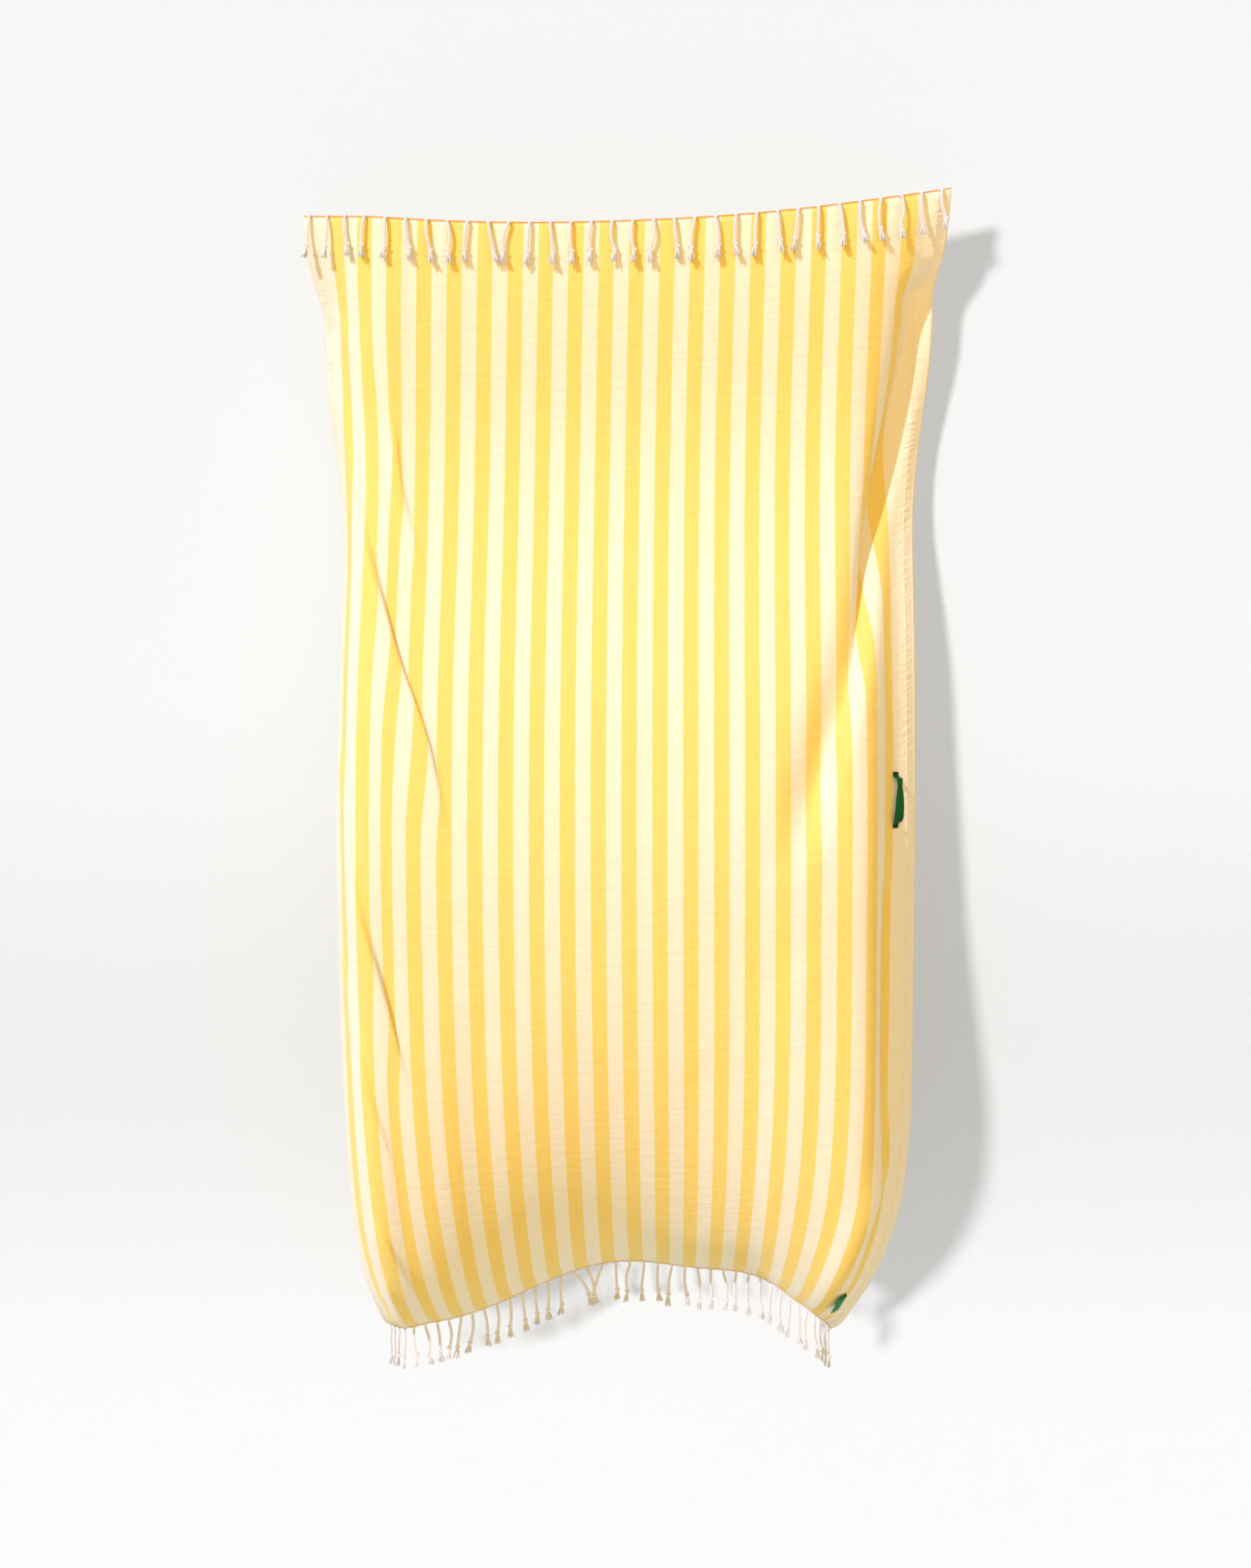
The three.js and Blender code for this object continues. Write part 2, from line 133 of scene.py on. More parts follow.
def hang(a, b):
    """The middle surface of the hanging cloth, a table of rows by columns of points in millimetres.

    Across, each row is walked from the middle in steps of the cloth's own width, turned by turn().
    Down, each column drops by what its own length leaves after its sideways steps, so the cloth keeps
    its length both ways. The bottom corners are then drawn inwards and down, and the bottom edge rises in an
    arch between its middle and its right corner."""
    share = b / LENGTH
    middles = (a[1:] + a[:-1]) / 2
    angle = turn(*np.broadcast_arrays(middles[None, :], share[:, None]))
    steps = np.diff(a)[None, :]
    start = np.zeros((len(b), 1))
    x = np.hstack([start, np.cumsum(np.cos(angle) * steps, axis=1)])
    back = np.hstack([start, np.cumsum(np.sin(angle) * steps, axis=1)])
    middle = len(a) // 2
    x = x - x[:, middle:middle + 1]
    back = back - back[:, middle:middle + 1]

    hollow = -TOP_HOLLOW * np.sin(np.pi * np.minimum(1, share / HOLLOW_END)) ** 2
    tail = np.maximum(0, (share - TAIL_START) / (1 - TAIL_START)) ** TAIL_POWER
    forward = hollow + BELLY * smooth(*BELLY_SHARES, share) - TAIL_SWEEP * tail
    half = a / (WIDTH / 2)
    inward = np.where(half < 0, INWARD[0], -INWARD[1]) * smooth(*INWARD_HALVES, np.abs(half))
    x = x + CENTRE_DRIFT * np.sin(np.pi * share)[:, None] + inward * smooth(*INWARD_SHARES, share)[:, None]
    y = back - forward[:, None]

    top = TOP_SAG * (np.abs(half) ** SAG_POWER - 1) + CORNER_RISE * half / 2
    lengths = np.diff(b)[:, None] ** 2
    drops = np.sqrt(np.maximum(STEEPEST * lengths, lengths - np.diff(x, axis=0) ** 2 - np.diff(y, axis=0) ** 2))
    z = top - np.vstack([np.zeros((1, len(a))), np.cumsum(drops, axis=0)])
    fall = np.where(half < 0, DROP[0], DROP[1]) * np.abs(half) ** DROP_POWER
    rise = ARCH_RISE * np.exp(-(((a - ARCH_AT) / ARCH_REACH) ** 2))
    z = z + (rise - fall) * smooth(*LOWER_SHARES, share)[:, None]
    points = np.stack([x, y, z], axis=-1)
    return points - (points[0, 0] + points[0, -1]) / 2


# Folds in the cloth, each along a line of (b, a) places. It stands height mm out of the cloth on its line,
# falls away over left mm towards the left and right mm towards the right, and slides the cloth sideways.
# A negative height is a valley.
FOLDS = [
    # left side: the lines that pull down and inwards from the edge
    dict(line=[(130, -452), (215, -405), (290, -376), (350, -360)], height=5, slide=5, left=26, right=8),
    dict(line=[(230, -462), (330, -444), (485, -410), (590, -376), (705, -330), (768, -300), (880, -270),
               (980, -250)], height=7, slide=11, left=44, right=11),
    dict(line=[(290, -354), (370, -350), (430, -336), (480, -314), (580, -290)],
         height=4, slide=5, left=20, right=9),
    dict(line=[(800, -440), (955, -420), (1062, -404), (1150, -378), (1268, -340), (1380, -306)],
         height=6, slide=9, left=32, right=9),
    dict(line=[(1120, -440), (1262, -411), (1353, -392), (1420, -372), (1500, -350)],
         height=4, slide=5, left=22, right=7),
    dict(line=[(1540, -404), (1640, -376), (1700, -362), (1790, -360), (1835, -362)],
         height=5.5, slide=5, left=22, right=6),
    dict(line=[(1640, -408), (1700, -398), (1790, -404), (1835, -408)], height=4, slide=3, left=14, right=6),
    # right side: a long valley that runs inwards, with a sharper line inside it, then the ridge at the corner
    dict(line=[(100, 480), (200, 472), (330, 452), (430, 434), (520, 410), (620, 388), (700, 366), (790, 335),
               (900, 300), (1040, 268)], height=-27, slide=0, left=38, right=22),
    dict(line=[(140, 480), (200, 474), (320, 452), (400, 436), (500, 414), (600, 390), (720, 358)],
         height=-3, slide=0, left=8, right=6),
    dict(line=[(90, 440), (135, 430), (190, 424), (250, 420)], height=2.2, slide=0, left=10, right=8),
    dict(line=[(1030, 438), (1150, 434), (1280, 434), (1400, 436), (1480, 440)],
         height=-6, slide=0, left=13, right=12),
    dict(line=[(1380, 474), (1445, 458), (1515, 432), (1570, 406), (1640, 392), (1780, 384), (1835, 384)],
         height=9, slide=-4, left=34, right=12),
    # the soft flutes of the lower middle
    dict(line=[(1180, -205), (1400, -216), (1700, -232)], height=-3.5, slide=0, left=34, right=34),
    dict(line=[(1280, 130), (1480, 118), (1760, 112)], height=-3, slide=0, left=38, right=38),
    dict(line=[(1130, 282), (1350, 268), (1700, 250)], height=3.5, slide=0, left=30, right=30),
]

# A fold grows over its first FADE[0] mm and fades over its last FADE[1] mm, and the corners of its line are eased
# by taking the mean of the line at LINE_EASE mm above and below.
FADE = (60.0, 170.0)
LINE_EASE = (-36, -18, 0, 18, 36)

# The groove above the bottom hem: its place, half width and depth.
GROOVE_AT, GROOVE_WIDTH, GROOVE_DEPTH = LENGTH - 92, 46, 4

# Ripples: a height, the distance in which the wave's angle grows by one radian, a slow wander of that angle by so
# many radians over so many mm down the cloth, and the two places between which the ripple grows.
SIDE_RIPPLE, SIDE_WAVE, SIDE_WANDER, SIDE_FROM = 0.9, 13.7, (1.9, 290), (240, 420)
LOW_RIPPLE, LOW_WAVE, LOW_WANDER, LOW_FROM = 0.7, 31, (2.4, 410), (500, 1100)
HEM_RIPPLE, HEM_FADE = 1.3, 60

# The fullness that keeps the left side open to the front.
FULLNESS, FULLNESS_AT, FULLNESS_WIDTH = 17, -392, 46
FULLNESS_BEGINS, FULLNESS_ENDS = (120, 420), (1500, 1760)

# How far from the top edge, the bottom edge and the ribbon the cloth lies still.
TOP_STILL, BOTTOM_STILL, LOOP_STILL = 30, 26, (30, 70)


def fold_lift(a, b, line, height, slide, left, right):
    """How far one fold lifts the cloth and slides it sideways, in millimetres.

    The profile is exp(-(d/w)^2), where d is the distance right of the fold's line and w is left or right."""
    at, place = np.array(line, float).T
    centre = np.mean([np.interp(b + offset, at, place) for offset in LINE_EASE], axis=0)
    away = a - centre
    profile = np.exp(-((away / np.where(away < 0, left, right)) ** 2))
    strength = smooth(at[0], at[0] + FADE[0], b) * (1 - smooth(at[-1] - FADE[1], at[-1], b))
    return height * strength * profile, slide * strength * profile


def relief(a, b):
    """All the cloth's folds and small ripples: how far each place stands out and slides to the right, in mm."""
    out = np.zeros(np.broadcast(a, b).shape)
    slide = np.zeros_like(out)
    for fold in FOLDS:
        lift, shift = fold_lift(a, b, **fold)
        out = out + lift
        slide = slide + shift
    # a groove above the bottom hem, deeper in some places than in others
    groove = np.exp(-(((b - GROOVE_AT) / GROOVE_WIDTH) ** 2))
    patches = 0.62 + 0.38 * np.sin(a / 47 + 0.8) * np.cos(a / 123)
    out = out - GROOVE_DEPTH * groove * patches
    # long soft ripples down the cloth, and short ones where the top hem hangs from its tassels
    wander = SIDE_WANDER[0] * np.sin(b / SIDE_WANDER[1])
    out = out + SIDE_RIPPLE * np.sin(a / SIDE_WAVE + wander) * smooth(*SIDE_FROM, np.abs(a))
    wander = LOW_WANDER[0] * np.sin(b / LOW_WANDER[1] + 1)
    out = out + LOW_RIPPLE * np.sin(a / LOW_WAVE + wander) * smooth(*LOW_FROM, b)
    out = out + HEM_RIPPLE * np.sin(2 * np.pi * a / (WIDTH / TOP_COUNT)) * np.exp(-b / HEM_FADE)
    # the left side stays open to the front until close to its edge
    fullness = FULLNESS * np.exp(-(((a - FULLNESS_AT) / FULLNESS_WIDTH) ** 2))
    fullness = fullness * smooth(*FULLNESS_BEGINS, b) * (1 - smooth(*FULLNESS_ENDS, b))
    # nothing moves at the top and bottom edges or at the ribbon, where other pieces are sewn on
    sewn = smooth(0, TOP_STILL, b) * (1 - smooth(LENGTH - BOTTOM_STILL, LENGTH, b))
    ribbon = 1 - np.exp(-(((a - LOOP_A) / LOOP_STILL[0]) ** 2) - ((b - LOOP_B) / LOOP_STILL[1]) ** 2)
    return out * sewn * ribbon, (slide + fullness) * sewn * ribbon


def unit(vectors):
    """Each vector at length 1."""
    return vectors / np.linalg.norm(vectors, axis=-1, keepdims=True)


def surface_directions(points):
    """Unit directions across, down and out of the front of a table of points, from its own slopes."""
    across = unit(np.gradient(points, axis=1))
    down = unit(np.gradient(points, axis=0))
    return across, down, unit(np.cross(down, across))


# The mesh of the cloth: the columns from an edge to SIDE_STARTS, those from there to the middle, and the rows.
SIDE_STARTS, SIDE_COLUMNS, MIDDLE_COLUMNS, ROWS = 230, 86, 26, 222


def column_places():
    """Places across the cloth, close together over its folded sides and wider apart over its middle."""
    side = np.linspace(WIDTH / 2, SIDE_STARTS, SIDE_COLUMNS)
    middle = np.linspace(SIDE_STARTS, 0, MIDDLE_COLUMNS)
    half = np.concatenate([side, middle[1:]])
    return np.concatenate([-half, half[-2::-1]])


ACROSS = column_places()
DOWN = np.linspace(0, LENGTH, ROWS)


def folded_cloth():
    """The hanging cloth with its folds laid onto it."""
    plain = hang(ACROSS, DOWN)
    across, _, out = surface_directions(plain)
    lift, slide = relief(ACROSS[None, :], DOWN[:, None])
    return plain + out * lift[..., None] + across * slide[..., None]


CLOTH = folded_cloth()
CLOTH_ACROSS, CLOTH_DOWN, CLOTH_OUT = surface_directions(CLOTH)


def sample(table, a, b):
    """The value of a cloth table at places (a, b), blended between the four points around each."""
    a, b = np.broadcast_arrays(np.asarray(a, float), np.asarray(b, float))
    column = np.interp(a, ACROSS, np.arange(len(ACROSS)))
    row = np.interp(b, DOWN, np.arange(len(DOWN)))
    i = np.minimum(column.astype(int), len(ACROSS) - 2)
    j = np.minimum(row.astype(int), len(DOWN) - 2)
    u, v = (column - i)[..., None], (row - j)[..., None]
    upper = table[j, i] * (1 - u) + table[j, i + 1] * u
    lower = table[j + 1, i] * (1 - u) + table[j + 1, i + 1] * u
    return upper * (1 - v) + lower * v


def on_cloth(a, b, height):
    """Points standing off the front of the cloth by a height in millimetres."""
    height = np.asarray(height, float)[..., None]
    return sample(CLOTH, a, b) + unit(sample(CLOTH_OUT, a, b)) * height


# ---- meshes -------------------------------------------------------------------------------------------------


def grid_quads(rows, columns, first=0):
    """The quads of a grid of points numbered row by row, each running round from its upper left corner."""
    corner = (np.arange(rows - 1)[:, None] * columns + np.arange(columns - 1)[None, :]).ravel() + first
    return np.stack([corner, corner + columns, corner + columns + 1, corner + 1], axis=1)


def shell(front, back):
    """A closed sheet from its front and back point tables: both faces and the four narrow sides between them.

    Rows run down and columns run to the right as seen from the front, so that every face points outwards."""
    rows, columns = front.shape[:2]
    count = rows * columns
    faces = [grid_quads(rows, columns), grid_quads(rows, columns, count)[:, ::-1]]
    index = np.arange(count).reshape(rows, columns)
    rim = np.concatenate([index[0, ::-1], index[1:, 0], index[-1, 1:], index[-2:0:-1, -1]])
    following = np.roll(rim, -1)
    faces.append(np.stack([rim, rim + count, following + count, following], axis=1))
    return np.concatenate([front.reshape(-1, 3), back.reshape(-1, 3)]), np.concatenate(faces)


TUBE_END = 0.6


def tube(path, radius, sides, toward):
    """A closed tube round a path: a ring of points at each step, and each end drawn to a point TUBE_END radii on.

    A ring's points are path + radius * (cos f * side + sin f * cross(tangent, side)), where side is square
    to the tangent and to the reference direction toward."""
    tangent = unit(np.gradient(path, axis=0))
    side = unit(np.cross(tangent, np.broadcast_to(toward, path.shape)))
    other = np.cross(tangent, side)
    radius = np.broadcast_to(radius, (len(path),))[:, None, None]
    angle = np.linspace(0, 2 * np.pi, sides, endpoint=False)[None, :, None]
    ring = path[:, None] + radius * (np.cos(angle) * side[:, None] + np.sin(angle) * other[:, None])
    poles = path[[0, -1]] + tangent[[0, -1]] * np.array([[-1], [1]]) * (radius[[0, -1], 0] * TUBE_END)
    rings = len(path)
    step = np.arange(rings - 1)[:, None] * sides
    here = np.arange(sides)
    after = (here + 1) % sides
    quads = np.stack([step + here, step + after, step + sides + after, step + sides + here], axis=-1)
    first, last = rings * sides, rings * sides + 1
    start_fan = np.stack([np.full(sides, first), after, here, here], axis=1)
    here, after = here + first - sides, after + first - sides
    end_fan = np.stack([np.full(sides, last), here, after, after], axis=1)
    points = np.concatenate([ring.reshape(-1, 3), poles])
    return points, np.concatenate([quads.reshape(-1, 4), start_fan, end_fan])


def gather(parts):
    """Several (points, faces) pairs as one."""
    offsets = np.cumsum([0] + [len(points) for points, _ in parts[:-1]])
    faces = np.concatenate([face + offset for (_, face), offset in zip(parts, offsets)])
    return np.concatenate([points for points, _ in parts]), faces


def make_piece(name, points, faces, material, body, replaces=(), places=None):
    """A smooth-shaded mesh object from points in millimetres, riding on a body.

    A face whose last two corners are the same point is a triangle."""
    mesh = bpy.data.meshes.new(name)
    triangle = faces[:, 2] == faces[:, 3]
    sizes = np.where(triangle, 3, 4)
    keep = np.ones(faces.shape, bool)
    keep[triangle, 3] = False
    mesh.vertices.add(len(points))
    mesh.vertices.foreach_set("co", (points * MM).astype(np.float32).ravel())
    mesh.loops.add(int(sizes.sum()))
    mesh.loops.foreach_set("vertex_index", faces[keep].astype(np.int32))
    mesh.polygons.add(len(faces))
    mesh.polygons.foreach_set("loop_start", np.concatenate([[0], np.cumsum(sizes)[:-1]]).astype(np.int32))
    mesh.polygons.foreach_set("use_smooth", np.ones(len(faces), bool))
    mesh.update(calc_edges=True)
    if places is not None:
        store = mesh.attributes.new("place", "FLOAT_VECTOR", "POINT")
        store.data.foreach_set("vector", places.astype(np.float32).ravel())
    mesh.materials.append(material)
    piece = bpy.data.objects.new(name, mesh)
    bpy.context.scene.collection.objects.link(piece)
    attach(piece, body)
    if replaces:
        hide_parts(*replaces)
    return piece


# ---- materials ----------------------------------------------------------------------------------------------


def linear(hex_code):
    """An sRGB hex colour as linear red, green, blue and alpha."""
    srgb = np.array([int(hex_code[i:i + 2], 16) for i in (1, 3, 5)]) / 255
    low, high = srgb / 12.92, ((srgb + 0.055) / 1.055) ** 2.4
    return (*np.where(srgb <= 0.04045, low, high), 1.0)


def add_node(tree, kind, inputs=(), output=0, **settings):
    """Adds a shader node with its settings and links, and returns one of its output sockets.

    Inputs is a dict or a list. Each value is a socket to link or a plain value to set."""
    made = tree.nodes.new(kind)
    for key, value in settings.items():
        setattr(made, key, value)
    for key, value in (inputs if isinstance(inputs, dict) else dict(enumerate(inputs))).items():
        if isinstance(value, bpy.types.NodeSocket):
            tree.links.new(value, made.inputs[key])
        else:
            made.inputs[key].default_value = value
    return made.outputs[output]


def new_material(name, roughness, sheen, sheen_roughness, specular):
    """A material with one Principled shader, whose plain values are set on its own sockets."""
    material = bpy.data.materials.new(name)
    material.use_nodes = True
    tree = material.node_tree
    principled = tree.nodes["Principled BSDF"]
    principled.inputs["Roughness"].default_value = roughness
    principled.inputs["Sheen Weight"].default_value = sheen
    principled.inputs["Sheen Roughness"].default_value = sheen_roughness
    principled.inputs["Specular IOR Level"].default_value = specular
    return material, tree, principled


MATH, VECTOR, NOISE, MIX = "ShaderNodeMath", "ShaderNodeVectorMath", "ShaderNodeTexNoise", "ShaderNodeMix"

# The weave: the gap between yarns in mm, and how high the parts of its relief are beside each other. A stripe's
# edge wanders by up to STRIPE_WANDER of two stripes' width. The puckers lose PUCKER_FADE of their height with each
# mm from the hem's stitching. RIBBON_RIB is the gap between a ribbon's ribs in mm.
YARN_GAP = 1.6
STRIPE_WANDER, STRIPE_SHARPNESS = 0.022, 5.0
RIB_HEIGHT, SLUB_HEIGHT, CRINKLE_HEIGHT, PUCKER_HEIGHT = 0.1, 1.3, 3.2, 12.0
PUCKER_FADE = 0.07
RIBBON_RIB = 1.2


def cloth_material():
    """Flat-woven cotton: matte, with slubby yarns, a fine rib from its weave and woven-in stripes.

    Real yarns lie 0.6 mm apart. They are drawn YARN_GAP mm apart, so that the weave still shows."""
    material, tree, shader = new_material("flat_woven_cotton", 0.92, 0.22, 0.45, 0.18)
    place = add_node(tree, "ShaderNodeAttribute", attribute_name="place", output="Vector")
    a = add_node(tree, "ShaderNodeSeparateXYZ", [place], 0)
    b = add_node(tree, "ShaderNodeSeparateXYZ", [place], 1)
    from_middle = add_node(tree, MATH, [a], operation="ABSOLUTE")

    # each noise has so many cells to a mm across and down the cloth: long slubs down the warp, short ones across
    # the weft, flecks of undyed fibre, wandering stripe edges, crinkles, and puckers along the hems' stitching
    cells = {"warp": (0.62, 0.022), "weft": (0.03, 0.55), "fleck": (0.5, 0.5), "wander": (0.8, 0.16),
             "crinkle": (0.022, 0.10), "pucker": (0.05, 0.13)}
    noise = {}
    for name, (across, down) in cells.items():
        sized = add_node(tree, VECTOR, [place, (across, down, 1)], operation="MULTIPLY")
        noise[name] = add_node(tree, NOISE, {"Vector": sized, "Scale": 1.0, "Detail": 2.5})

    # stripes: a wave that is above zero over each yellow stripe
    phase = add_node(tree, MATH, [a, 1 / (2 * STRIPE), -FIRST_STRIPE / (2 * STRIPE)], operation="MULTIPLY_ADD")
    phase = add_node(tree, MATH, [noise["wander"], STRIPE_WANDER, phase], operation="MULTIPLY_ADD")
    wave = add_node(tree, MATH, [add_node(tree, MATH, [phase, 2 * np.pi], operation="MULTIPLY")], operation="SINE")
    stripe = add_node(tree, MATH, [wave, STRIPE_SHARPNESS, 0.5], operation="MULTIPLY_ADD", use_clamp=True)
    inside = add_node(tree, MATH, [from_middle, 0.6 - FIRST_STRIPE], operation="LESS_THAN")
    stripe = add_node(tree, MATH, [stripe, inside], operation="MULTIPLY")

    # each colour runs between two tones with the slubs, and flecks of undyed fibre show through both
    tone = add_node(tree, MATH, [noise["weft"], 0.4], operation="MULTIPLY")
    tone = add_node(tree, MATH, [noise["warp"], 0.6, tone], operation="MULTIPLY_ADD")
    yellow = add_node(tree, MIX, {0: tone, 6: linear("#efc64a"), 7: linear("#f3de82")}, 2, data_type="RGBA")
    cream = add_node(tree, MIX, {0: tone, 6: linear("#ecdfb9"), 7: linear("#f3eacd")}, 2, data_type="RGBA")
    striped = add_node(tree, MIX, {0: stripe, 6: cream, 7: yellow}, 2, data_type="RGBA")
    pale = add_node(tree, MATH, [noise["fleck"], 0.9, -0.47], operation="MULTIPLY_ADD", use_clamp=True)
    striped = add_node(tree, MIX, {0: pale, 6: striped, 7: linear("#f3ead0")}, 2, data_type="RGBA")
    tree.links.new(striped, shader.inputs["Base Color"])

    # the weave's relief: crossing ribs, crinkles from drying, and the puckers along the hems' stitching
    rib = 2 * np.pi / YARN_GAP
    over = add_node(tree, MATH, [add_node(tree, MATH, [a, rib], operation="MULTIPLY")], operation="SINE")
    under = add_node(tree, MATH, [add_node(tree, MATH, [b, rib], operation="MULTIPLY")], operation="SINE")
    height = add_node(tree, MATH, [over, under], operation="MULTIPLY")
    slubs = add_node(tree, MATH, [tone, SLUB_HEIGHT], operation="MULTIPLY")
    height = add_node(tree, MATH, [height, RIB_HEIGHT, slubs], operation="MULTIPLY_ADD")
    height = add_node(tree, MATH, [noise["crinkle"], CRINKLE_HEIGHT, height], operation="MULTIPLY_ADD")
    off_hem = add_node(tree, MATH, [from_middle, WIDTH / 2 - HEM], operation="SUBTRACT")
    off_hem = add_node(tree, MATH, [off_hem], operation="ABSOLUTE")
    near_hem = add_node(tree, MATH, [off_hem, -PUCKER_FADE, 1.0], operation="MULTIPLY_ADD", use_clamp=True)
    pucker = add_node(tree, MATH, [noise["pucker"], near_hem], operation="MULTIPLY")
    height = add_node(tree, MATH, [pucker, PUCKER_HEIGHT, height], operation="MULTIPLY_ADD")
    bump = add_node(tree, "ShaderNodeBump", {"Height": height, "Strength": 0.55, "Distance": 0.0006})
    tree.links.new(bump, shader.inputs["Normal"])
    return material


def thread_material(name, light, dark, grain):
    """Twisted cotton: matte with a soft fuzz, and lighter and darker fibres about grain mm long."""
    material, tree, shader = new_material(name, 0.85, 0.3, 0.4, 0.2)
    place = add_node(tree, "ShaderNodeTexCoord", output="Object")
    sized = add_node(tree, VECTOR, [place, (700, 700, 1000 / grain)], operation="MULTIPLY")
    fibre = add_node(tree, NOISE, {"Vector": sized, "Scale": 1.0, "Detail": 3.0})
    colour = add_node(tree, MIX, {0: fibre, 6: linear(dark), 7: linear(light)}, 2, data_type="RGBA")
    tree.links.new(colour, shader.inputs["Base Color"])
    bump = add_node(tree, "ShaderNodeBump", {"Height": fibre, "Strength": 0.5, "Distance": 0.0004})
    tree.links.new(bump, shader.inputs["Normal"])
    return material


def ribbon_material(name, dark, light):
    """Grosgrain ribbon, with a soft gloss and cross ribs RIBBON_RIB mm apart, drawn coarser than the real 0.8. Its
    colour is darker in the ribs' hollows and lighter on their crests: painted shade.
    """
    material, tree, shader = new_material(name, 0.6, 0.0, 0.3, 0.2)
    place = add_node(tree, "ShaderNodeAttribute", attribute_name="place", output="Vector")
    run = add_node(tree, "ShaderNodeSeparateXYZ", [place], 0)
    ribs = add_node(tree, MATH, [run, 2 * np.pi / RIBBON_RIB], operation="MULTIPLY")
    ribs = add_node(tree, MATH, [ribs], operation="SINE")
    sized = add_node(tree, VECTOR, [place, (0.4, 2.2, 1)], operation="MULTIPLY")
    grain = add_node(tree, NOISE, {"Vector": sized, "Scale": 1.0, "Detail": 3.0})
    share = add_node(tree, MATH, [grain, 0.5, 0.25], operation="MULTIPLY_ADD")
    # the ribs' wave also darkens the colour in their hollows and lightens it on their crests: painted shade of the
    # ribs' relief
    share = add_node(tree, MATH, [ribs, 0.175, share], operation="MULTIPLY_ADD")
    colour = add_node(tree, MIX, {0: share, 6: linear(dark), 7: linear(light)}, 2, data_type="RGBA")
    tree.links.new(colour, shader.inputs["Base Color"])
    bump = add_node(tree, "ShaderNodeBump", {"Height": ribs, "Strength": 0.6, "Distance": 0.0003})
    tree.links.new(bump, shader.inputs["Normal"])
    return material


WOVEN_COTTON = cloth_material()
FRINGE_COTTON = thread_material("undyed_fringe_cotton", "#f2f2f0", "#d6d4d0", 2.5)
# The top edge's overlock thread is coloured darker orange than the bottom edge's yellow one: the darker tone is
# painted shade of the fold along the top edge.
ORANGE_THREAD_AND_PAINTED_SHADE = thread_material("orange_overlock_thread_and_painted_shade", "#f3b13c", "#c97d14", 2.0)
YELLOW_THREAD = thread_material("yellow_overlock_thread", "#ffdc62", "#efae2a", 2.0)
CREAM_THREAD = thread_material("cream_hem_thread", "#fff8e6", "#e8d6b0", 2.0)
GREEN_RIBBON = ribbon_material("green_grosgrain_ribbon", "#003812", "#00601f")
GREEN_LABEL = ribbon_material("green_woven_label", "#006a2c", "#0c9a48")


# ---- the cloth ----------------------------------------------------------------------------------------------

HEM_SURFACE = (THICKNESS + HEM_EXTRA) / 2
STITCH_PITCH, STITCH_LENGTH, STITCH_RADIUS = 4.6, 3.4, 0.55
FIRST_STITCH, LAST_STITCH = 14, 18
EDGE_STEPS = 640
OVERLOCK_PITCH, OVERLOCK_REACH, OVERLOCK_THREAD, OVERLOCK_OUTSIDE = 5, 1.0, 0.95, 0.6


def make_cloth():
    """The cloth: the folded surface with half its thickness put on each side, thicker over the side hems."""
    plain = 1 - smooth(WIDTH / 2 - HEM - HEM_STEP, WIDTH / 2 - HEM, np.abs(ACROSS))
    half = (THICKNESS + HEM_EXTRA * (1 - plain)) / 2
    offset = CLOTH_OUT * half[None, :, None]
    points, faces = shell(CLOTH + offset, CLOTH - offset)
    across, down = np.meshgrid(ACROSS, DOWN)
    place = np.stack([across.ravel(), down.ravel(), np.zeros(across.size)], axis=1)
    return make_piece("woven_cloth", points, faces, WOVEN_COTTON, "towel",
                      ["towel_cloth"], np.concatenate([place, place]))


def stitch_row(a):
    """A row of stitches down a hem: each is a short bead that dips into the cloth at both ends."""
    arch = np.sin(np.pi * np.linspace(0, 1, 6))
    beads = []
    for start in np.arange(FIRST_STITCH, LENGTH - LAST_STITCH, STITCH_PITCH):
        b = start + STITCH_LENGTH * np.linspace(0, 1, 6)
        path = on_cloth(np.full_like(b, a), b, HEM_SURFACE + STITCH_RADIUS * (arch - 0.6))
        beads.append(tube(path, STITCH_RADIUS * (0.35 + 0.65 * arch), 5, (1.0, 0.2, 0.0)))
    return gather(beads)


def make_hem_stitching():
    """The two long rows of stitches that hold down the side hems."""
    for side, name in ((-1, "left"), (1, "right")):
        points, faces = stitch_row(side * (WIDTH / 2 - HEM))
        make_piece(f"{name}_hem_stitches", points, faces, CREAM_THREAD, "towel",
                   [f"{name}_hem_stitch"])


def make_edge_overlock(edge, b, below, material):
    """The stitched edge, below mm below row b: two threads that wind round it, once in every OVERLOCK_PITCH mm."""
    a = np.linspace(-WIDTH / 2 + 0.5, WIDTH / 2 - 0.5, EDGE_STEPS)
    out, down = unit(sample(CLOTH_OUT, a, b)), unit(sample(CLOTH_DOWN, a, b))
    middle = sample(CLOTH, a, b) + down * below
    strands = []
    for phase in (0, np.pi):
        angle = (2 * np.pi * a / OVERLOCK_PITCH + phase)[:, None]
        path = middle + OVERLOCK_REACH * (np.cos(angle) * out + np.sin(angle) * down)
        strands.append(tube(path, OVERLOCK_THREAD, 5, out))
    points, faces = gather(strands)
    make_piece(f"{edge}_edge_overlock", points, faces, material, "towel",
               [f"{edge}_edge_thread"])


# ---- the fringes --------------------------------------------------------------------------------------------

# A tassel's cord has two plies of a radius, at an offset from its middle line, that wind once in PLY_TURN mm. It
# is bowed outwards by CORD_BOW, leans and bends to either side, and is at least SHORTEST of its full length.
PLY_RADIUS, PLY_OFFSET, PLY_TURN, CORD_BOW, CORD_STEPS = 1.45, 1.2, 7, 1.5, 44
KNOT_SIZE, KNOT_CORD, KNOT_STEPS = 3.3, 1.5, 40
TIP_STRANDS, STRAND_TURN, STRAND_RADIUS, STRAND_TAPER = 17, 2.4, 1.05, 0.4
SHORTEST, MOST_LEAN, MOST_BEND = 0.9, 6, 4

